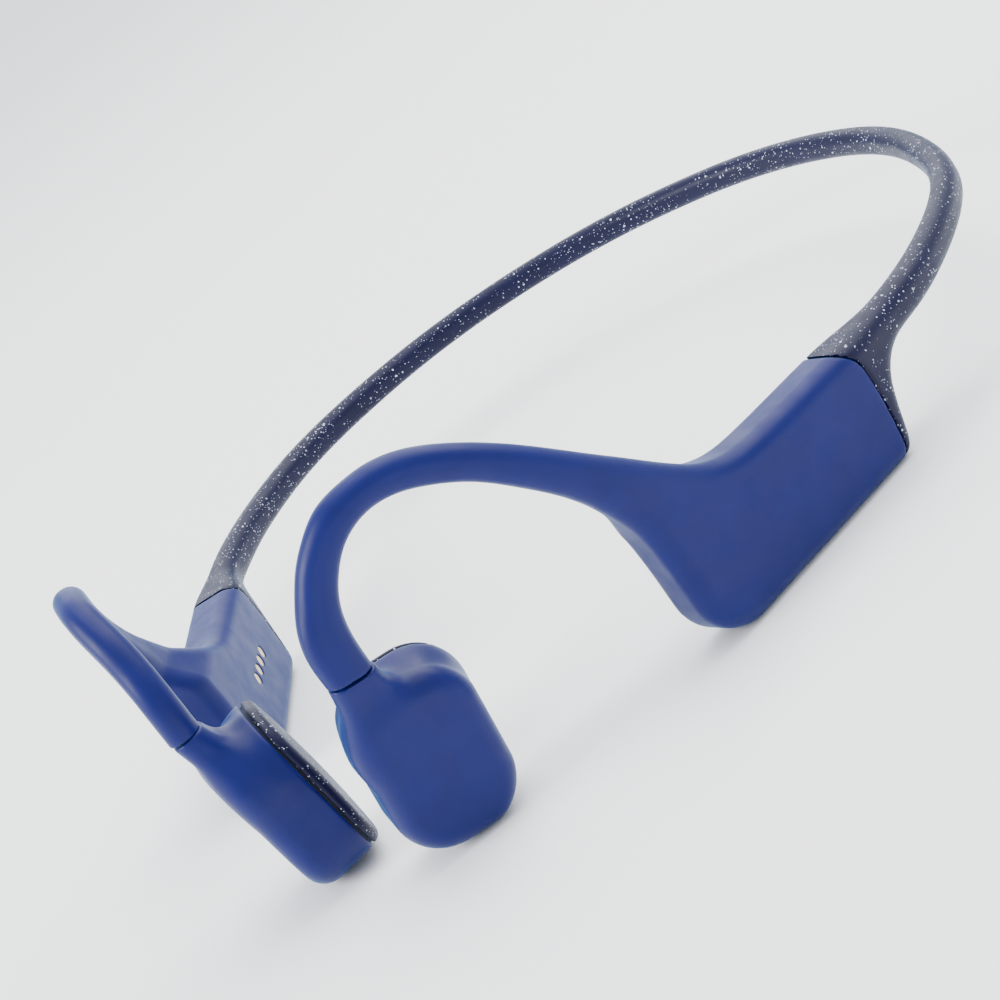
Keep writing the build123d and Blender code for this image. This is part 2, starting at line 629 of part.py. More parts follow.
with BuildPart() as frame:
    extrude(shell_profile(PLATE_INSET, -PLATE_DEPTH + GAP), amount=PLATE_DEPTH - GAP + COIL[2])
    add(drive_ring(RING_INNER, RING_OUTER, 0, SPRING_LEVEL - SPRING_HALF))
write_pair(frame.part, "drive_frame")
write_pair(drive_ring(*COIL), "voice_coil")
with BuildPart() as yoke:
    add(drive_ring(YOKE_INNER, YOKE_OUTER, YOKE_LEVELS[0], YOKE_LEVELS[1]))
    add(drive_ring(0, YOKE_OUTER, YOKE_LEVELS[1], YOKE_LEVELS[2]))
write_pair(yoke.part, "drive_yoke")
write_pair(drive_ring(0, MAGNET_R, MAGNET_LEVELS[1], MAGNET_LEVELS[2]), "drive_magnet")
write_pair(drive_ring(0, MAGNET_R, MAGNET_LEVELS[0], MAGNET_LEVELS[1]), "drive_top_plate")
with BuildPart() as rivet:
    add(drive_ring(0, RIVET_R, RIVET_LEVELS[0], RIVET_LEVELS[1]))
    add(drive_ring(0, RIVET_HEAD_R, RIVET_LEVELS[1], RIVET_LEVELS[2]))
write_pair(rivet.part, "drive_rivet")
with BuildPart() as spring:
    add(drive_ring(RIVET_R + GAP, RING_OUTER, SPRING_LEVEL - SPRING_HALF, SPRING_LEVEL + SPRING_HALF))
    with BuildSketch(shell_plane.offset(SPRING_LEVEL - SPRING_HALF)):
        with Locations((0, DRIVE_Y)):
            for turn, radius in enumerate(SLOT_RADII):
                with PolarLocations(0, 3, start_angle=60 * turn):
                    SlotArc(CenterArc((0, 0), radius, 0, SLOT_ARC), SLOT_WIDTH)
    extrude(amount=2 * SPRING_HALF, mode=Mode.SUBTRACT)
write_pair(spring.part, "drive_spring_plate")
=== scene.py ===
import math

import bmesh
import bpy
import numpy as np
from mathutils import Matrix, Vector


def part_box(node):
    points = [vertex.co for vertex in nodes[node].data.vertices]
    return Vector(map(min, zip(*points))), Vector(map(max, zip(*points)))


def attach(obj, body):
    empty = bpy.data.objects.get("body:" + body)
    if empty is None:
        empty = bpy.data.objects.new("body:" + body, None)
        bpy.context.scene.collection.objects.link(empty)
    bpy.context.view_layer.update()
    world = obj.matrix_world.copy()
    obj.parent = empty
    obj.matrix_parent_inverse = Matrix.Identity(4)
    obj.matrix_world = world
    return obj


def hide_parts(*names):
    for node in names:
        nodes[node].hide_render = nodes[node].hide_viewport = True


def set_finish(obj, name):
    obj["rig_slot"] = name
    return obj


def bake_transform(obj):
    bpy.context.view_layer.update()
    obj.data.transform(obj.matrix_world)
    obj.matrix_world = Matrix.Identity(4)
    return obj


# Bone conduction headphones. Shapes are worked out in millimetres in the CAD's frame (+Z up, +Y back,
# +X the wearer's left) and scaled to metres when a mesh is made. The left side is made, then mirrored.
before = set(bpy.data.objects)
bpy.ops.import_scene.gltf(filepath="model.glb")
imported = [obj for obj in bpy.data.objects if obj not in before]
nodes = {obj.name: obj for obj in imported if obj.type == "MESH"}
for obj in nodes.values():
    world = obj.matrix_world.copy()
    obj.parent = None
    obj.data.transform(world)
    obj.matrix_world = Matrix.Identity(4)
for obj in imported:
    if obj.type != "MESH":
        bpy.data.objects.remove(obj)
for leftover in ("Cube", "Light", "Camera"):
    if leftover in bpy.data.objects:
        bpy.data.objects.remove(bpy.data.objects[leftover])
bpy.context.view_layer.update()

MM = 0.001
SIDES = ("left", "right")

# ---------------------------------------------------------------- curves and distance fields


def spline(knots, values, first=None, last=None):
    """A smooth cubic through values at knots. first and last are its end slopes, left free if None."""
    knots = np.asarray(knots, float)
    values = np.asarray(values, float).reshape(len(knots), -1)
    count = len(knots)
    gap = np.diff(knots)
    rise = np.diff(values, axis=0) / gap[:, None]
    system = np.zeros((count, count))
    wanted = np.zeros_like(values)
    for i in range(1, count - 1):
        system[i, i - 1 : i + 2] = gap[i], 2 * (gap[i - 1] + gap[i]), gap[i - 1]
        wanted[i] = 3 * (gap[i] * rise[i - 1] + gap[i - 1] * rise[i])
    system[0, :2] = (2, 1) if first is None else (1, 0)
    wanted[0] = 3 * rise[0] if first is None else first
    system[-1, -2:] = (1, 2) if last is None else (0, 1)
    wanted[-1] = 3 * rise[-1] if last is None else last
    slope = np.linalg.solve(system, wanted)

    def at(x):
        """The spline's values and slopes at x, each with one more axis than x."""
        x = np.asarray(x, float)
        i = np.clip(np.searchsorted(knots, x) - 1, 0, count - 2)
        step = gap[i][..., None]
        t = (x - knots[i])[..., None] / step
        start, end = values[i], values[i + 1]
        leave, arrive = slope[i] * step, slope[i + 1] * step
        place = (
            start * (2 * t**3 - 3 * t**2 + 1)
            + leave * (t**3 - 2 * t**2 + t)
            + end * (3 * t**2 - 2 * t**3)
            + arrive * (t**3 - t**2)
        )
        change = (end - start) * (6 * t - 6 * t**2)
        change += leave * (3 * t**2 - 4 * t + 1) + arrive * (3 * t**2 - 2 * t)
        return place, change / step

    return at


def along_points(points):
    """Distances along a list of points."""
    steps = np.linalg.norm(np.diff(np.asarray(points, float), axis=0), axis=1)
    return np.concatenate([[0], np.cumsum(steps)])


def smooth(low, high, x):
    """0 below low, 1 above high, and smooth between."""
    t = np.clip((x - low) / (high - low), 0, 1)
    return t * t * (3 - 2 * t)


def both(a, b, soft):
    """The space inside fields a and b, its edge rounded over about soft."""
    return np.maximum(a, b) + np.maximum(soft - np.abs(a - b), 0) ** 2 / (4 * soft)


def either(a, b, soft):
    """The space inside field a or b, its inner corner filled over about soft."""
    return -both(-a, -b, soft)


def rounded(a, b, radius):
    """The space inside fields a and b, its edge an arc of that radius."""
    corner = np.hypot(np.maximum(a + radius, 0), np.maximum(b + radius, 0))
    return corner + np.minimum(np.maximum(a, b) + radius, 0) - radius


def rectangle(x, y, half_x, half_y, radius):
    """Distance from a rounded rectangle about the origin."""
    return rounded(np.abs(x) - half_x, np.abs(y) - half_y, radius)


def ellipse(x, y, half_x, half_y):
    """About the distance from an ellipse about the origin."""
    reach = np.hypot(x / half_x, y / half_y)
    steep = np.hypot(x / half_x**2, y / half_y**2) + 1e-9
    return reach * (reach - 1) / steep


def outline_field(outline, low, high, step):
    """A function giving the distance from a closed outline, read from a grid of distances."""
    outline = np.asarray(outline, float)
    counts = [int(math.ceil((high[i] - low[i]) / step)) + 1 for i in range(2)]
    xs, ys = (low[i] + step * np.arange(counts[i]) for i in range(2))
    nearest = np.full(counts, np.inf)
    crossings = np.zeros(counts, int)
    for start, end in zip(outline, np.roll(outline, -1, axis=0)):
        run = end - start
        length2 = run @ run
        if length2 == 0:
            continue
        dx = xs[:, None] - start[0]
        dy = ys[None, :] - start[1]
        t = np.clip((dx * run[0] + dy * run[1]) / length2, 0, 1)
        np.minimum(nearest, (dx - t * run[0]) ** 2 + (dy - t * run[1]) ** 2, out=nearest)
        if start[1] != end[1]:
            spans = (ys >= min(start[1], end[1])) & (ys < max(start[1], end[1]))
            meets = start[0] + (ys - start[1]) * run[0] / run[1]
            crossings += spans[None, :] & (xs[:, None] < meets[None, :])
    distance = np.sqrt(nearest) * np.where(crossings % 2 == 1, -1, 1)

    def weights(t):
        """The four Catmull-Rom weights at t between two grid lines."""
        return (
            (-t + 2 * t**2 - t**3) / 2,
            (2 - 5 * t**2 + 3 * t**3) / 2,
            (t + 4 * t**2 - 3 * t**3) / 2,
            (-(t**2) + t**3) / 2,
        )

    def at(x, y):
        """The distance at x, y, smoothly between grid points."""
        x, y = np.broadcast_arrays(np.asarray(x, float), np.asarray(y, float))
        u = np.clip((x - low[0]) / step, 1, counts[0] - 2.001)
        v = np.clip((y - low[1]) / step, 1, counts[1] - 2.001)
        i, j = np.floor(u).astype(int), np.floor(v).astype(int)
        total = np.zeros(x.shape)
        across, up = weights(u - i), weights(v - j)
        for a in range(4):
            for b in range(4):
                total += across[a] * up[b] * distance[np.clip(i + a - 1, 0, counts[0] - 1), j + b - 1]
        return total

    return at


def surface(field, low, high, step, passes=3):
    """Vertices and quads of the surface where field(x, y, z) is 0. The field is negative inside.

    One vertex stands in each grid cell that the surface crosses, and is then moved onto the surface.
    """
    low, high = np.asarray(low, float), np.asarray(high, float)
    step = np.broadcast_to(np.asarray(step, float), 3)
    counts = np.ceil((high - low) / step).astype(int) + 1
    lines = [low[i] + step[i] * np.arange(counts[i]) for i in range(3)]
    value = field(lines[0][:, None, None], lines[1][None, :, None], lines[2][None, None, :])
    value = np.broadcast_to(value, counts)
    inside = value < 0
    corners = [(a, b, c) for a in (0, 1) for b in (0, 1) for c in (0, 1)]
    filled = np.zeros(counts - 1, int)
    for a, b, c in corners:
        filled += inside[a : counts[0] - 1 + a, b : counts[1] - 1 + b, c : counts[2] - 1 + c]
    mixed = (filled > 0) & (filled < 8)
    cells = np.argwhere(mixed)
    number = np.full(mixed.shape, -1)
    number[mixed] = np.arange(len(cells))
    total = np.zeros((len(cells), 3))
    crossings = np.zeros(len(cells))
    for axis in range(3):
        along = np.eye(3, dtype=int)[axis]
        for corner in corners:
            if corner[axis]:
                continue
            near = value[tuple((cells + corner).T)]
            far = value[tuple((cells + corner + along).T)]
            crossed = (near < 0) != (far < 0)
            t = np.where(crossed, near / np.where(crossed, near - far, 1), 0)
            total += np.where(crossed[:, None], np.array(corner) + t[:, None] * along, 0)
            crossings += crossed
    points = low + step * (cells + total / crossings[:, None])
    quads = []
    for axis in range(3):
        u, v = (axis + 1) % 3, (axis + 2) % 3
        trim = [slice(1, -1)] * 3
        trim[axis] = slice(0, -1)
        shifted = list(trim)
        shifted[axis] = slice(1, None)
        here, there = inside[tuple(trim)], inside[tuple(shifted)]
        base = np.argwhere(here != there) + 1
        base[:, axis] -= 1
        leaving = inside[tuple(base.T)]
        ring = []
        for du, dv in ((0, 0), (1, 0), (1, 1), (0, 1)):
            cell = base.copy()
            cell[:, u] -= du
            cell[:, v] -= dv
            ring.append(number[tuple(cell.T)])
        ring = np.stack(ring, axis=1)
        ring[~leaving] = ring[~leaving][:, ::-1]
        quads.append(ring[(ring >= 0).all(axis=1)])
    probe = 0.02
    for _ in range(passes):
        x, y, z = points.T
        here = field(x, y, z)
        slope = np.stack(
            [
                field(x + probe, y, z) - field(x - probe, y, z),
                field(x, y + probe, z) - field(x, y - probe, z),
                field(x, y, z + probe) - field(x, y, z - probe),
            ],
            axis=1,
        ) / (2 * probe)
        move = -here[:, None] * slope / np.maximum((slope**2).sum(axis=1), 0.2)[:, None]
        reach = np.linalg.norm(move / step, axis=1)
        points = points + move * np.minimum(1, 0.5 / np.maximum(reach, 1e-9))[:, None]
    return points, np.concatenate(quads)


def make_piece(name, points, faces, flip=False, sharp=50):
    """A mesh object from points in millimetres, smooth but for edges sharper than the angle given."""
    faces = [tuple(int(i) for i in (reversed(face) if flip else face)) for face in faces]
    mesh = bpy.data.meshes.new(name)
    mesh.from_pydata([tuple(p) for p in np.asarray(points) * MM], [], faces)
    mesh.validate()
    bm = bmesh.new()
    bm.from_mesh(mesh)
    loose = [v for v in bm.verts if not v.link_faces]
    bmesh.ops.delete(bm, geom=loose, context="VERTS")
    for face in bm.faces:
        face.smooth = True
    for edge in bm.edges:
        edge.smooth = not edge.is_manifold or edge.calc_face_angle(0) < math.radians(sharp)
    bm.to_mesh(mesh)
    bm.free()
    piece = bpy.data.objects.new(name, mesh)
    bpy.context.scene.collection.objects.link(piece)
    return piece


# ---------------------------------------------------------------- one side, unrolled

# Seen from above, the middle of one side stands on this curve, from the hook's foot to the nape. A place
# on the side is (s, z, out): distance along the curve, height, and distance out from the wearer.
TOE_IN = math.radians(26)
POD_MIDDLE = np.array([49.75, -27.4])
POD_S = 60.0  # s at the pod's middle
along_pod = np.array([math.sin(TOE_IN), math.cos(TOE_IN)])
PLAN_FRONT = [(14.5, -74.9), (20.7, -70.2), (27.5, -63.4), (34.1, -55.7)]
BAND_BACK = 76.8  # y at the nape
PLAN_REAR = [(65.0, 8), (65.9, 20), (63.9, 34), (57.3, 47), (46.3, 60), (30, 70.3), (14, 75.5)]
PLAN_REAR += [(0, BAND_BACK)]
plan_points = PLAN_FRONT + [tuple(POD_MIDDLE + along_pod * along) for along in (-20.5, -10, 0, 10, 20, 28)]
plan_points += PLAN_REAR
plan_s = along_points(plan_points)
plan_s += POD_S - plan_s[6]
FOOT_S = plan_s[0]
NAPE_S = plan_s[-1]
plan = spline(plan_s, plan_points, first=(0.70, 0.71), last=(-1, 0))


def unrolled(s, z, out):
    """World places of unrolled ones. Past the nape, s runs on along the other side."""
    beyond = s > NAPE_S
    s = np.where(beyond, 2 * NAPE_S - s, s)
    held = np.maximum(s, FOOT_S)
    place, heading = plan(held)
    heading /= np.linalg.norm(heading, axis=-1, keepdims=True)
    x = place[..., 0] + heading[..., 0] * (s - held) + heading[..., 1] * out
    y = place[..., 1] + heading[..., 1] * (s - held) - heading[..., 0] * out
    return np.stack([np.where(beyond, -x, x), y, z], axis=-1)


# The neckband's section: its centre's height, and how tall and thick it is.
BAND_START_S = 89.2
BAND_CENTRE = [(74, 15.2), (89.2, 15.2), (98.5, 15.35), (110.5, 15.6), (124.7, 15.9), (139, 16.2)]
BAND_CENTRE += [(156, 16.4), (175, 16.55), (NAPE_S + 2, 16.55)]
band_height = spline(*zip(*BAND_CENTRE))


def band_swell(s):
    """1 where the band leaves the collar, falling to 0 at the nape."""
    return np.clip((NAPE_S - s) / (NAPE_S - BAND_START_S), 0, 1) ** 3


def band_edge(s, side):
    """Height of the band's upper (side 1) or lower (side -1) edge."""
    return band_height(s)[0][..., 0] + side * (4.3 + 1.4 * band_swell(s)) / 2


# The side's outline, as (s, z): over the hook, along the pod's and band's top, back below, up the hook.
HOOK_OUTER = [(-3.4, 24.4), (-3.1, 28.9), (-3.0, 33.3), (-1.9, 37.3), (0.2, 40.8), (2.5, 43.9)]
HOOK_OUTER += [(5.2, 46.5), (8.8, 48.8), (13.0, 49.6), (17.2, 49.5), (21.4, 48.3), (26.2, 45.5)]
HOOK_OUTER += [(30.7, 41.9), (35.1, 37.6), (39.4, 33.0), (44.1, 28.1), (48.9, 23.3), (52.3, 20.7)]
HOOK_OUTER += [(56.2, 19.2), (61.5, 18.6), (74, 18.3), (82, 18.1)]
COLLAR_UNDER = [(89.3, 12.3), (85.6, 11.0), (83.7, 9.1), (82.5, 6.7), (81.6, 4.2), (80.9, 2.2), (79.7, 0.5)]
COLLAR_UNDER += [(77.5, 0.0)]
POD_CORNER = 7.2
HOOK_INNER = [(39.5, 12), (39.4, 15.5), (39.0, 19.4), (37.6, 23.7), (35.5, 28.1), (33.0, 31.8)]
HOOK_INNER += [(30.1, 35.3), (26.2, 39.4), (21.6, 42.6), (17.2, 44.5), (13.4, 44.8), (9.7, 43.5)]
HOOK_INNER += [(6.6, 40.6), (4.6, 37.4), (3.5, 33.5), (3.2, 29.3), (3.1, 24.4)]
OUTLINE_STEP = 0.4
band_s = np.linspace(94, NAPE_S + 2, 12)
POD_FRONT_S = 39.5


def through(points, first=None, last=None):
    """Close points on a smooth curve through the points given."""
    knots = along_points(points)
    curve = spline(knots, points, first, last)
    return [tuple(p) for p in curve(np.arange(0, knots[-1], OUTLINE_STEP))[0]]


def quarter(centre, radius, start):
    """Points on a quarter circle that runs clockwise from the start angle."""
    angles = np.radians(start - np.linspace(0, 90, 24))
    return [(centre[0] + radius * math.cos(a), centre[1] + radius * math.sin(a)) for a in angles]


upper = through(HOOK_OUTER + [(s, band_edge(s, 1)) for s in band_s])
lower = through([(s, band_edge(s, -1)) for s in band_s[::-1]] + COLLAR_UNDER, last=(-1, 0))
corner = quarter((POD_FRONT_S + POD_CORNER, POD_CORNER), POD_CORNER, 270)
inner = through(HOOK_INNER, first=(0, 1))
side_outline = outline_field(upper + lower + corner + inner, (-6, -2), (NAPE_S + 3, 53.5), 0.3)

# Thickness at places along the side.
POD_THICK = 8.8
THICKNESS = [(-6, 4.7), (0, 4.7), (14, 4.6), (21, 4.7), (29, 4.8), (37, 5.2), (42, 5.8), (47, 6.5)]
THICKNESS += [(52, 7.7), (56, 8.6), (60, 8.8), (70, 8.8), (77, 8.8), (79.5, 8.7), (82, 8.0), (85, 6.7)]
THICKNESS += [(89, 5.4), (94, 5.0)]
side_thickness = spline(*zip(*THICKNESS))
# Above the pod the hook's middle swings outwards, so that its outer face runs into the pod's.
SWING = [(-6, 0), (0, 0), (13, 0), (20.5, 0.5), (28.5, 1.35), (36.5, 1.75), (42, 1.5), (47, 1.15)]
SWING += [(52, 0.55), (56, 0.1), (60, 0), (94, 0)]
side_swing = spline(*zip(*SWING))
BAND_THICK = 3.7


def body_field(s, z, out):
    """The whole side as one solid, hook, pod, collar and band together."""
    s = np.where(s > NAPE_S, 2 * NAPE_S - s, s)
    thick = side_thickness(np.minimum(s, 94))[0][..., 0]
    low_pod = smooth(26, 19, z) * smooth(30, 37, s)
    thick = thick + (POD_THICK - thick) * low_pod * (s < 60)
    out = out - side_swing(np.minimum(s, 60))[0][..., 0] * (1 - low_pod)
    band_thick = BAND_THICK + 1.5 * band_swell(s)
    thick = thick + (band_thick - thick) * smooth(88, 96, s)
    radius = np.minimum(2.6, thick / 2 - 0.15)
    return rounded(side_outline(s, z), np.abs(out) - thick / 2, radius)


# The seam between pod and collar bows backwards, then turns forward over the pod's top.
SEAM = [(-2, 78.1), (0, 78.2), (5, 78.9), (9, 79.35), (13.2, 79.5), (15.8, 78.9), (18.5, 76.6), (20, 74.8)]
seam = spline(*zip(*SEAM))
SEAM_GAP = 0.15
SEAM_ROUND = 0.3
SKIN = 1.0
SKIN_STEP = 0.33
POD_FRONT_TOP = 19.1  # the pod's top falls by POD_FALL over POD_RUN
POD_FALL = 0.8
POD_RUN = 39.9
CASE_ROUND = 0.7
FOOT_Z = 28.9  # seam between hook and transducer
foot_slope = math.radians(6.2)


def seam_field(s, z):
    """Distance behind the seam between pod and collar."""
    place, lean = seam(z)
    return (s - place[..., 0]) / np.sqrt(1 + lean[..., 0] ** 2)


def pod_room(s, z, out):
    """The room for the case inside the pod's skin."""
    front, bottom = POD_FRONT_S + SKIN - s, SKIN - z
    outline = rounded(front, bottom, POD_CORNER - SKIN)
    top = z - (POD_FRONT_TOP - SKIN - POD_FALL * (s - POD_FRONT_S) / POD_RUN)
    outline = np.maximum(outline, np.maximum(top, seam_field(s, z) + SKIN))
    return rounded(outline, np.abs(out) - POD_THICK / 2 + SKIN, CASE_ROUND)


def front_field(s, z, out):
    """The hook and the pod's skin."""
    skin = both(body_field(s, z, out), seam_field(s, z) + SEAM_GAP / 2, SEAM_ROUND)
    foot = (FOOT_Z - z) * math.cos(foot_slope) - s * math.sin(foot_slope) + SEAM_GAP / 2
    foot = np.where(s < 20, foot, -9.0)
    return np.maximum(both(skin, foot, SEAM_ROUND), -pod_room(s, z, out))


def rear_field(s, z, out):
    """The collars and the neckband."""
    folded = np.minimum(s, 2 * NAPE_S - s)
    return both(body_field(s, z, out), SEAM_GAP / 2 - seam_field(folded, z), SEAM_ROUND)


# Openings in the right pod: the keys and the light below, the contacts on the inner side.
KEYS = ("volume_up", "volume_down", "play", "mode")
KEY_PITCH = 5.6
key_s = {key: POD_S + 2.0 + (i - 1.5) * KEY_PITCH for i, key in enumerate(KEYS)}
KEY_LONG, KEY_WIDE, KEY_ROUND = 4.4, 3.0, 1.0
KEY_PLAY = 0.2
LIGHT_S = POD_S - 9.9
CONTACT_Z = 9.2
contact_s = [POD_S + 3.6 + (i - 1.5) * 3.08 for i in range(4)]


def right_front_field(s, z, out):
    """The right hook and pod skin, with its openings."""
    skin = front_field(s, z, out)
    depth = z - SKIN - 0.2
    half_long, half_wide = KEY_LONG / 2 + KEY_PLAY, KEY_WIDE / 2 + KEY_PLAY
    for place in key_s.values():
        slot = rectangle(s - place, out, half_long, half_wide, KEY_ROUND + KEY_PLAY)
        skin = both(skin, -np.maximum(slot, depth), 0.25)
    skin = both(skin, -np.maximum(np.hypot(s - LIGHT_S, out) - 0.65, depth), 0.2)
    for place in contact_s:
        hole = np.hypot(s - place, z - CONTACT_Z) - 0.96
        skin = both(skin, -np.maximum(hole, out + POD_THICK / 2 - SKIN - 0.2), 0.25)
    return skin


def make_skins():
    """The blue silicone of both sides."""
    pieces = {}
    for side, field in (("left", front_field), ("right", right_front_field)):
        points, quads = surface(field, (-5, -0.8, -5), (82, 50.8, 5.2), SKIN_STEP)
        points = unrolled(*points.T)
        if side == "right":
            points = points * (-1, 1, 1)
        piece = make_piece(f"{side}_hook_and_pod", points, quads, flip=side == "right")
        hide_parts(f"{side}_hook_and_pod_skin")
        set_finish(piece, "blue_silicone")
        pieces[side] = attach(piece, f"{side}_half")
    return pieces


def flexing(piece):
    """Bakes a neckband piece's placement into its mesh."""
    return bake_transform(piece)


def make_neckband():
    """Both collars and the band between them, in one."""
    steps = (0.5, SKIN_STEP, SKIN_STEP)
    points, quads = surface(rear_field, (74, -0.8, -5), (2 * NAPE_S - 74, 19.6, 5), steps)
    piece = make_piece("neckband", unrolled(*points.T), quads)
    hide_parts("left_neckband_sleeve", "right_neckband_sleeve")
    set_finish(piece, "speckled_silicone")
    return flexing(piece)


def tube(places, radius, sides=14):
    """Points and faces of a capped bar of round section along the places."""
    places = np.asarray(places, float)
    heading = np.gradient(places, axis=0)
    heading /= np.linalg.norm(heading, axis=1, keepdims=True)
    side = np.cross(heading, (0, 0, 1))
    side /= np.linalg.norm(side, axis=1, keepdims=True)
    up = np.cross(side, heading)
    points, faces = [], []
    for step, place in enumerate(places):
        for turn in range(sides):
            angle = 2 * math.pi * turn / sides
            points.append(place + radius * (math.cos(angle) * side[step] + math.sin(angle) * up[step]))
    for step in range(len(places) - 1):
        for turn in range(sides):
            a, b = step * sides + turn, step * sides + (turn + 1) % sides
            faces.append((a, a + sides, b + sides, b))
    faces.append(tuple(range(sides)))
    faces.append(tuple(reversed(range(len(points) - sides, len(points)))))
    return points, faces


CORE_OFFSET = 0.9


def make_band_core(name, offset, radius, slot):
    """The wire or the cable that runs through the neckband from pod to pod."""
    s = np.linspace(POD_S + 12, 2 * NAPE_S - POD_S - 12, 260)
    folded = np.minimum(s, 2 * NAPE_S - s)
    places = unrolled(s, band_height(folded)[0][..., 0] + offset, np.zeros_like(s))
    piece = make_piece(name, *tube(places, radius))
    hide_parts(f"left_{name}", f"right_{name}")
    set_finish(piece, slot)
    return flexing(piece)


# ---------------------------------------------------------------- transducers, in the shell's own frame

FACING, TILT = math.radians(-45), math.radians(-6.5)
shell_out = np.array([math.cos(TILT) * math.cos(FACING), math.cos(TILT) * math.sin(FACING), math.sin(TILT)])
shell_down = np.array([-0.155, 0, -0.988])
shell_down -= shell_out * (shell_down @ shell_out)
shell_down /= np.linalg.norm(shell_down)
shell_across = np.cross(shell_out, shell_down)
HOOK_END = np.array([14.5, -74.7, 28.9])
NECK_X, NECK_Y, NECK_Z = -4.45, 16.04, 7.3
shell_origin = HOOK_END - shell_across * NECK_X + shell_down * NECK_Y - shell_out * NECK_Z
SHELL_HALF_X, SHELL_HALF_Y, SHELL_CORNER = 8.95, 12.55, 7.2
SHELL_DEPTH = 9.6
SHELL_EDGE = 3.0
SHELL_WALL = 1.1
SHOULDER = 0.8  # the outer face's top is lower than the pad's
FLANK = 0.6  # and its rear side is further in
SEAL_DEPTH = 0.3
PAD_DEPTH = 2.0


def from_shell(points):
    """World places of points in the shell's frame."""
    x, y, z = points.T
    return shell_origin + x[:, None] * shell_across - y[:, None] * shell_down + z[:, None] * shell_out


def shell_outline(x, y):
    """Distance from the transducer's outline."""
    return rectangle(x, y, SHELL_HALF_X, SHELL_HALF_Y, SHELL_CORNER)


def shell_field(x, y, z):
    """The transducer's shell: a cup with a rounded face, flowing into the neck that meets the hook."""
    crown = 0.35 * ((x / SHELL_HALF_X) ** 2 + (y / SHELL_HALF_Y) ** 2)
    outer = smooth(1, 6, z)
    outline = shell_outline(x + FLANK * outer * smooth(2, 8, x), y + SHOULDER * outer * smooth(2, 10, y))
    cup = rounded(outline, z - SHELL_DEPTH + crown, SHELL_EDGE)
    down = np.clip(NECK_Y - y, -2, 13)
    wide, deep = 3.3 + 0.09 * down + 0.008 * down**2, 2.35 + 0.08 * down
    neck = rectangle(x - NECK_X - 0.1 * down, z - NECK_Z + 0.2 * down, wide, deep, 2.2)
    neck = both(neck, 2 - y, 4)
    solid = either(cup, neck, 3.2)
    solid = both(solid, y - NECK_Y + SEAM_GAP / 2, SEAM_ROUND)
    solid = both(solid, SEAL_DEPTH - z, 0.45)
    room = rounded(outline + SHELL_WALL, z - SHELL_DEPTH + SHELL_WALL + crown, SHELL_EDGE - SHELL_WALL)
    return np.maximum(solid, -room)


def pad_field(x, y, z):
    """The contact pad: domed towards the wearer, with a pocket for the drive's plate behind."""
    face = -z - PAD_DEPTH + 0.55 * ((x / SHELL_HALF_X) ** 2 + (y / SHELL_HALF_Y) ** 2)
    solid = rounded(shell_outline(x, y) + 0.15, face, 1.2)
    solid = both(solid, z + 0.02, 0.3)
    pocket = np.maximum(shell_outline(x, y) + SHELL_WALL + 0.75, -z - 0.9)
    return np.maximum(solid, -pocket)


SHELL_STEP = 0.28


def make_transducers():
    """Shell and pad of both sides."""
    made = {}
    shell = surface(shell_field, (-10, -14, -0.4), (10, 16.6, 10.2), SHELL_STEP)
    pad = surface(pad_field, (-10, -14, -2.6), (10, 14, 0.5), SHELL_STEP)
    for part, (points, quads), slot, kind in (
        ("transducer_shell", shell, "blue_shell_plastic", "shell"),
        ("contact_pad", pad, "speckled_silicone", "pad"),
    ):
        for side in SIDES:
            mirrored = side == "right"
            places = from_shell(points) * ((-1, 1, 1) if mirrored else (1, 1, 1))
            ending = "soft" if kind == "pad" else "moulded"
            piece = make_piece(f"{side}_{part}_{ending}", places, quads)
            if np.linalg.det([shell_across, -shell_down, shell_out]) * (-1 if mirrored else 1) < 0:
                piece.data.flip_normals()
            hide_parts(f"{side}_{part}")
            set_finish(piece, slot)
            made[side, kind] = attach(piece, f"{side}_half")
    return made


# ---------------------------------------------------------------- keys

KEY_FACE = 0.42
KEY_RELIEF = 0.12
KEY_BACK = 2.35


def key_mark(key, x, y):
    """Distance from the raised mark on a key: plus, minus, dot and ring."""
    across = rectangle(x, y, 0.75, 0.14, 0.13)
    if key == "volume_up":
        return np.minimum(across, rectangle(x, y, 0.14, 0.75, 0.13))
    if key == "volume_down":
        return across
    if key == "play":
        return np.hypot(x, y) - 0.42
    return np.abs(np.hypot(x, y) - 0.62) - 0.13


def make_keys():
    """The four rubber keys under the right pod."""
    made = {}
    for key in KEYS:

        def field(x, y, z, key=key):
            face = KEY_FACE + 0.14 * ((x / 2.2) ** 2 + (y / 1.5) ** 2)
            cap = rounded(rectangle(x, y, KEY_LONG / 2, KEY_WIDE / 2, KEY_ROUND), face - z, 0.35)
            raised = both(key_mark(key, x, y), KEY_FACE - KEY_RELIEF - z, 0.1)
            flange = rectangle(x, y, KEY_LONG / 2 + 0.35, KEY_WIDE / 2 + 0.4, KEY_ROUND)
            flange = np.maximum(flange, np.maximum(1.95 - z, z - KEY_BACK))
            cap = either(np.maximum(cap, z - KEY_BACK), np.maximum(raised, z - 1), 0.12)
            stem = np.maximum(np.hypot(x, y) - 0.7, np.maximum(1 - z, z - 2.9))
            return np.minimum(cap, np.minimum(flange, stem))

        points, quads = surface(field, (-2.8, -2.1, 0), (2.8, 2.1, 3.1), 0.1)
        x, y, z = points.T
        places = unrolled(key_s[key] + x, z, y) * (-1, 1, 1)
        piece = make_piece(f"{key}_key_cap", places, quads)
        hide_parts(f"{key}_button")
        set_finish(piece, "dark_button_rubber")
        made[key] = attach(piece, f"{key}_key")
    return made


# ---------------------------------------------------------------- battery foam


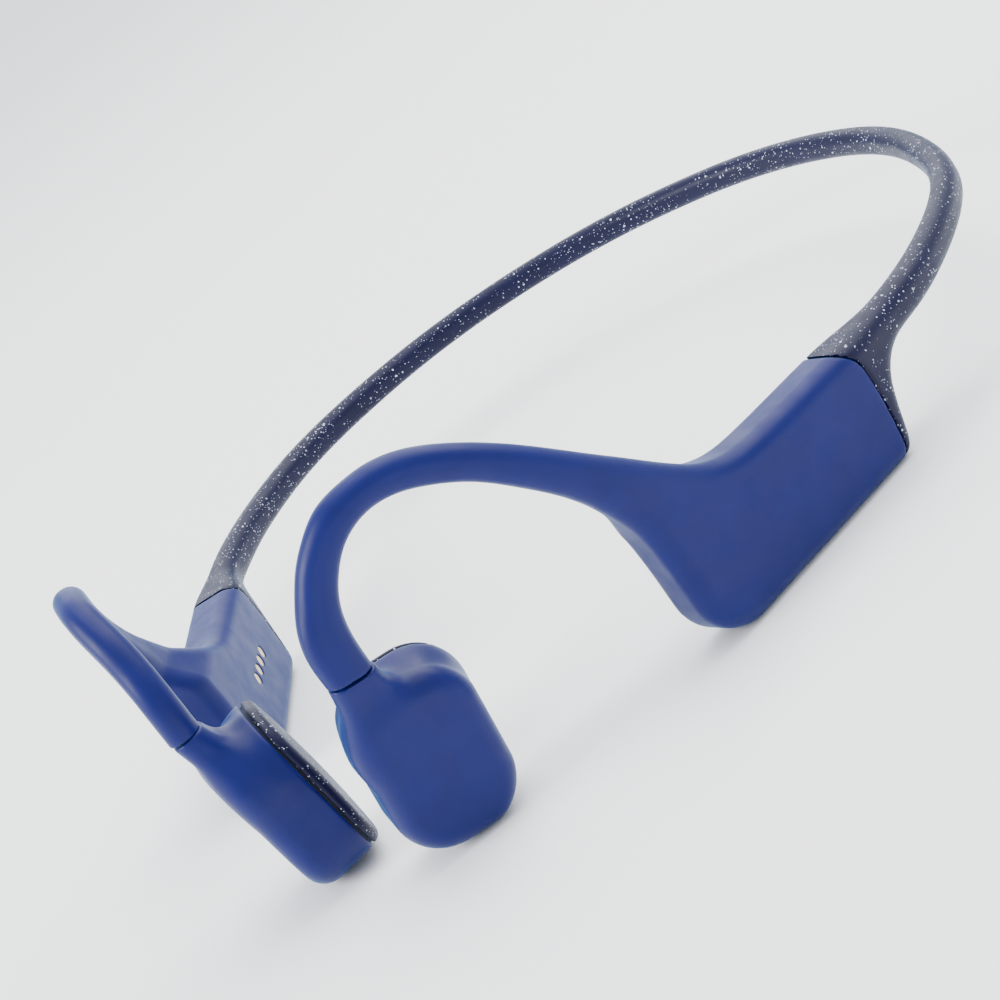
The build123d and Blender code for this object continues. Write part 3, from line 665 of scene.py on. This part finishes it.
def make_foam():
    """The foam strip that holds the battery: pinched at its edges, with a slight waist."""
    low, high = (np.array(corner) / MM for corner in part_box("battery_foam_pad"))
    centre = (low + high) / 2
    half_long = (high[1] - low[1]) / 2 / math.cos(TOE_IN) * 0.94
    half_tall = (high[2] - low[2]) / 2

    def field(x, y, z):
        plump = 0.42 - 0.12 * ((x / half_long) ** 4 + (y / half_tall) ** 4)
        return rounded(rectangle(x, y, half_long, half_tall, 1.2), np.abs(z) - plump, 0.25)

    reach = (half_long + 0.5, half_tall + 0.5, 1.0)
    points, quads = surface(field, [-r for r in reach], reach, (0.4, 0.4, 0.1))
    x, y, z = points.T
    out = np.array([along_pod[1], -along_pod[0], 0])
    along, up = np.append(along_pod, 0), np.array((0, 0, 1))
    places = centre + x[:, None] * along + y[:, None] * up + z[:, None] * out
    piece = make_piece("battery_foam", places, quads)
    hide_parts("battery_foam_pad")
    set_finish(piece, "foam")
    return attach(piece, "left_half")


# ---------------------------------------------------------------- materials


class Finish:
    """A procedural material, put together from layers that read the object's own coordinates."""

    def __init__(self, name, metallic=0.0, **sockets):
        self.material = bpy.data.materials.new(name)
        self.material.use_nodes = True
        self.tree = self.material.node_tree
        self.shader = self.tree.nodes["Principled BSDF"]
        self.place = self.tree.nodes.new("ShaderNodeTexCoord").outputs["Object"]
        self.normal = None
        self.shader.inputs["Metallic"].default_value = metallic
        for socket, value in sockets.items():
            self.shader.inputs[socket.replace("_", " ")].default_value = value

    def node(self, kind, settings=None, **inputs):
        """A new node. Inputs that are sockets are linked, and the others are set."""
        made = self.tree.nodes.new(kind)
        for key, value in (settings or {}).items():
            setattr(made, key, value)
        for key, value in inputs.items():
            socket = made.inputs[int(key[1:]) if key[1:].isdigit() else key.replace("_", " ")]
            if isinstance(value, bpy.types.NodeSocket):
                self.tree.links.new(value, socket)
            else:
                socket.default_value = value
        return made

    def noise(self, size, detail=2.0, stretch=None, rough=0.5):
        """Noise whose features are about size metres across."""
        place = self.place
        if stretch:
            place = self.node("ShaderNodeMapping", Vector=place, Scale=stretch).outputs["Vector"]
        made = self.node("ShaderNodeTexNoise", Vector=place, Scale=1 / size, Detail=detail, Roughness=rough)
        return made.outputs["Fac"]

    def between(self, value, low, high, to_low=0.0, to_high=1.0):
        """The value's span from low to high, stretched to another span and held inside it."""
        ends = {"From_Min": low, "From_Max": high, "To_Min": to_low, "To_Max": to_high}
        made = self.node("ShaderNodeMapRange", Value=value, **ends)
        return made.outputs["Result"]

    def maths(self, operation, first, second=0.0):
        """A sum on one or two values."""
        return self.node("ShaderNodeMath", {"operation": operation}, i0=first, i1=second).outputs[0]

    def mix(self, share, first, second):
        """A colour between two others."""
        made = self.node("ShaderNodeMix", {"data_type": "RGBA"}, i0=share, i6=first, i7=second)
        return made.outputs[2]

    def paint(self, colour):
        """Sets or links the base colour."""
        self.set("Base Color", colour)

    def set(self, name, value):
        """Sets or links one of the shader's sockets."""
        if isinstance(value, bpy.types.NodeSocket):
            self.tree.links.new(value, self.shader.inputs[name])
        else:
            self.shader.inputs[name].default_value = value

    def bump(self, height, depth, strength=1.0):
        """Raises the surface by up to depth metres, over what was raised before."""
        made = self.node("ShaderNodeBump", Height=height, Strength=strength, Distance=depth)
        if self.normal:
            self.tree.links.new(self.normal, made.inputs["Normal"])
        self.normal = made.outputs["Normal"]
        self.set("Normal", self.normal)


def rgb(red, green, blue):
    """A linear colour from an sRGB one given as 0 to 255."""
    linear = [((c / 255 + 0.055) / 1.055) ** 2.4 if c > 10 else c / 255 / 12.92 for c in (red, green, blue)]
    return (*linear, 1.0)


SHEEN_BLUE = rgb(110, 180, 240)


def silicone(name, deep, light, rough=(0.40, 0.52), specks=False, sheen=0.28):
    """Soft matt rubber: a fine moulded grain, faint clouding, and a smoother look where it is handled."""
    finish = Finish(
        name, Specular_IOR_Level=0.22, Sheen_Weight=sheen, Sheen_Roughness=0.3, Sheen_Tint=SHEEN_BLUE
    )
    handled = 0.006
    clouds = finish.noise(handled, 3)
    colour = finish.mix(finish.between(clouds, 0.35, 0.65), deep, light)
    fine = finish.noise(0.00016, 2)
    if specks:
        patches = finish.between(finish.noise(0.009, 3), 0.3, 0.55, 0.6, 1.0)
        cover = None
        for size, share in ((0.00055, 0.27), (0.0009, 0.24), (0.0004, 0.27)):
            cells = finish.node("ShaderNodeTexVoronoi", Vector=finish.place, Scale=1 / size)
            chance = finish.node("ShaderNodeSeparateColor", Color=cells.outputs["Color"])
            reach = finish.between(chance.outputs[0], 0.35, 1.0, 0.0, share)
            reach = finish.maths("MULTIPLY", reach, patches)
            speck = finish.maths("LESS_THAN", cells.outputs["Distance"], reach)
            bright = finish.between(chance.outputs[1], 0.0, 1.0, 0.25, 1.0)
            speck = finish.maths("MULTIPLY", speck, bright)
            cover = speck if cover is None else finish.maths("MAXIMUM", cover, speck)
        colour = finish.mix(cover, colour, rgb(205, 215, 235))
    finish.paint(colour)
    finish.set("Roughness", finish.between(finish.noise(handled * 0.6, 4), 0.3, 0.7, *rough))
    finish.bump(fine, 0.000012, 0.5)
    return finish.material


def plastic(name, colour, rough=(0.35, 0.5), grain=0.0002, depth=0.00001, **sockets):
    """Moulded plastic with spark-eroded texture and faint flow marks."""
    finish = Finish(name, **sockets)
    flow = finish.noise(0.004, 3, stretch=(1, 0.4, 1))
    darker = tuple(c * 0.8 for c in colour[:3]) + (1.0,)
    finish.paint(finish.mix(finish.between(flow, 0.35, 0.65), darker, colour))
    finish.set("Roughness", finish.between(finish.noise(0.0015, 3), 0.3, 0.7, *rough))
    finish.bump(finish.noise(grain, 2), depth, 0.6)
    return finish.material


def metal(name, colour, rough=(0.22, 0.38), brushed=(1, 1, 30), grain=0.0008, **sockets):
    """Metal with fine brushing along one way and faint staining."""
    finish = Finish(name, metallic=1.0, **sockets)
    lines = finish.noise(grain, 3, stretch=brushed)
    stain = finish.noise(0.003, 4)
    darker = tuple(c * 0.7 for c in colour[:3]) + (1.0,)
    finish.paint(finish.mix(finish.between(stain, 0.3, 0.6), darker, colour))
    finish.set("Roughness", finish.between(lines, 0.3, 0.7, *rough))
    finish.bump(lines, 0.000008, 0.5)
    return finish.material


def winding(name, colour):
    """Fine enamelled wire, wound in rings, with painted shade between the turns."""
    finish = Finish(name, metallic=1.0)
    turns = finish.node(
        "ShaderNodeTexWave", {"bands_direction": "DIAGONAL"}, Vector=finish.place, Scale=900.0, Distortion=0.6
    )
    rings = turns.outputs["Fac"]
    darker = tuple(c * 0.35 for c in colour[:3]) + (1.0,)
    # Painted shade: the colour darkens to a third of itself where the ring bump dips between turns.
    finish.paint(finish.mix(rings, darker, colour))
    finish.set("Roughness", finish.between(finish.noise(0.001, 2), 0.3, 0.7, 0.22, 0.36))
    finish.bump(rings, 0.00004, 0.8)
    return finish.material


def foil(name, colour):
    """The battery's pouch: crinkled foil, with painted shade in the dips of its creases."""
    finish = Finish(name, metallic=1.0)
    creases = finish.noise(0.0035, 5, rough=0.65)
    darker = tuple(c * 0.75 for c in colour[:3]) + (1.0,)
    # Painted shade: the colour turns darker where the crease bump dips.
    finish.paint(finish.mix(finish.between(creases, 0.35, 0.65), darker, colour))
    finish.set("Roughness", finish.between(finish.noise(0.0012, 3), 0.3, 0.7, 0.3, 0.5))
    finish.bump(creases, 0.0002, 0.7)
    return finish.material


def sponge(name, colour):
    """Open-cell foam."""
    finish = Finish(name, Sheen_Weight=0.2)
    cells = finish.node("ShaderNodeTexVoronoi", Vector=finish.place, Scale=2600.0)
    depth = finish.between(cells.outputs["Distance"], 0.1, 0.6)
    finish.paint(finish.mix(depth, colour, tuple(c * 0.45 for c in colour[:3]) + (1.0,)))
    finish.set("Roughness", finish.between(finish.noise(0.002, 2), 0.3, 0.7, 0.8, 0.95))
    finish.bump(depth, 0.00012, 0.9)
    return finish.material


def laminate(name, mask, copper):
    """A printed circuit board: solder mask over faintly raised tracks."""
    finish = Finish(name, Coat_Weight=0.3)
    tracks = finish.node(
        "ShaderNodeTexBrick",
        {"offset": 0.5},
        Vector=finish.place,
        Scale=420.0,
        Color1=(1, 1, 1, 1),
        Color2=(0.8, 0.8, 0.8, 1),
        Mortar=(0, 0, 0, 1),
    )
    lines = tracks.outputs["Fac"]
    finish.paint(finish.mix(finish.maths("MULTIPLY", lines, 0.35), mask, copper))
    finish.set("Roughness", finish.between(finish.noise(0.002, 3), 0.3, 0.7, 0.25, 0.42))
    finish.bump(lines, 0.00003, 0.5)
    return finish.material


NAVY, NAVY_LIGHT = rgb(4, 6, 42), rgb(5, 7, 46)
ROYAL, ROYAL_LIGHT = rgb(2, 12, 82), rgb(3, 14, 87)


def make_materials():
    """One finish for each of the record's material slots."""
    return {
        "blue_silicone": silicone("blue_silicone_skin", ROYAL, ROYAL_LIGHT),
        "blue_shell_plastic": silicone("blue_shell_coating", ROYAL, ROYAL_LIGHT, rough=(0.36, 0.48)),
        "speckled_silicone": silicone("speckled_navy_silicone", NAVY, NAVY_LIGHT, specks=True, sheen=0.1),
        "dark_button_rubber": silicone("key_rubber", rgb(20, 24, 52), rgb(26, 30, 62), rough=(0.5, 0.62)),
        "seal_rubber": silicone("seal_rubber_black", rgb(10, 11, 18), rgb(16, 17, 26), rough=(0.55, 0.7)),
        "cable_jacket": plastic("cable_jacket_grey", rgb(52, 54, 62), rough=(0.45, 0.6), grain=0.00012),
        "case_plastic": plastic("case_nylon", rgb(38, 42, 56), rough=(0.45, 0.62), depth=0.00002),
        "chip_black": plastic("chip_epoxy", rgb(22, 22, 24), rough=(0.35, 0.5), grain=0.00009),
        "light_body": plastic("light_body_white", rgb(225, 225, 215), rough=(0.3, 0.4)),
        "light_guide": plastic("light_guide_frost", rgb(226, 232, 240), (0.25, 0.4), Transmission_Weight=0.6),
        "spring_titanium": metal("titanium_wire", rgb(150, 146, 140), brushed=(8, 8, 1)),
        "drive_steel": metal("plated_steel", rgb(176, 178, 182)),
        "magnet_nickel": metal("nickel_magnet", rgb(198, 192, 182), rough=(0.12, 0.25), brushed=(1, 1, 1)),
        "switch_metal": metal("switch_steel", rgb(190, 192, 196), rough=(0.2, 0.34)),
        "contact_gold": metal(
            "contact_gold_plate", rgb(232, 208, 160), rough=(0.24, 0.38), brushed=(1, 1, 1)
        ),
        "coil_copper": winding("coil_enamelled_copper", rgb(196, 106, 58)),
        "cell_foil": foil("cell_pouch_foil", rgb(186, 188, 192)),
        "foam": sponge("cell_foam", rgb(62, 62, 66)),
        "board_laminate": laminate("board_mask", rgb(14, 52, 40), rgb(176, 140, 70)),
    }


def dress(materials, pieces):
    """Gives every piece and every CAD node that shows its finish."""
    for name, node in nodes.items():
        for holder in node.material_slots:
            holder.material = materials[holder.material.name.split(".")[0]]
    for piece in pieces:
        piece.data.materials.append(materials[piece["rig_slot"]])


# ---------------------------------------------------------------- camera, floor, light

CAMERA_PLACE = Vector((224.0, -301.2, 144.4)) * MM
CAMERA_RIGHT = Vector((0.7609, 0.3423, -0.5513))
CAMERA_BACK = Vector((0.5766, -0.7464, 0.3323))


def make_camera():
    """The camera, rolled so that the object's height leans to the left."""
    camera = bpy.data.objects.new("camera", bpy.data.cameras.new("camera"))
    bpy.context.scene.collection.objects.link(camera)
    back = CAMERA_BACK.normalized()
    right = (CAMERA_RIGHT - back * CAMERA_RIGHT.dot(back)).normalized()
    turn = Matrix((right, back.cross(right), back)).transposed()
    camera.matrix_world = Matrix.Translation(CAMERA_PLACE) @ turn.to_4x4()
    camera.data.sensor_width = 36
    camera.data.lens = 96.96
    camera.data.clip_start = 0.01
    camera.data.clip_end = 50
    bpy.context.scene.camera = camera


def make_light(name, place, target, size, power, colour=(1, 1, 1)):
    """A soft square light that looks at a target."""
    light = bpy.data.lights.new(name, "AREA")
    light.size = size
    light.energy = power
    light.color = colour
    holder = bpy.data.objects.new(name, light)
    bpy.context.scene.collection.objects.link(holder)
    holder.visible_camera = False
    place, target = Vector(place), Vector(target)
    turn = (target - place).to_track_quat("-Z", "Y").to_matrix().to_4x4()
    holder.matrix_world = Matrix.Translation(place) @ turn


def make_studio():
    """A pale floor, a pale surround and three soft lights."""
    mesh = bpy.data.meshes.new("floor")
    half = 6.0
    corners = [(-half, -half, 0), (half, -half, 0), (half, half, 0), (-half, half, 0)]
    mesh.from_pydata(corners, [], [(0, 1, 2, 3)])
    floor = bpy.data.objects.new("floor", mesh)
    bpy.context.scene.collection.objects.link(floor)
    finish = Finish("floor_paint")
    finish.paint(rgb(246, 247, 248))
    finish.set("Roughness", 0.7)
    mesh.materials.append(finish.material)
    world = bpy.data.worlds.new("surround")
    bpy.context.scene.world = world
    world.use_nodes = True
    world.node_tree.nodes["Background"].inputs["Color"].default_value = (0.93, 0.96, 1, 1)
    world.node_tree.nodes["Background"].inputs["Strength"].default_value = 1.4
    make_light("overhead", (0.12, 0.28, 0.62), (0, 0, 0.02), 0.8, 10)
    make_light("left_bank", (-0.6, -0.6, 0.45), (0, 0, 0.02), 0.5, 12)
    make_light("back", (-1.2, 1.8, 0.85), (0, 0, 0.02), 1.4, 12)


# ---------------------------------------------------------------- all together

make_camera()
skins = make_skins()
pieces = list(skins.values()) + [make_neckband()]
pieces.append(make_band_core("neckband_wire", -CORE_OFFSET, 0.5, "spring_titanium"))
pieces.append(make_band_core("neckband_cable", CORE_OFFSET, 0.45, "cable_jacket"))
pieces += list(make_transducers().values()) + list(make_keys().values()) + [make_foam()]
dress(make_materials(), pieces)
make_studio()
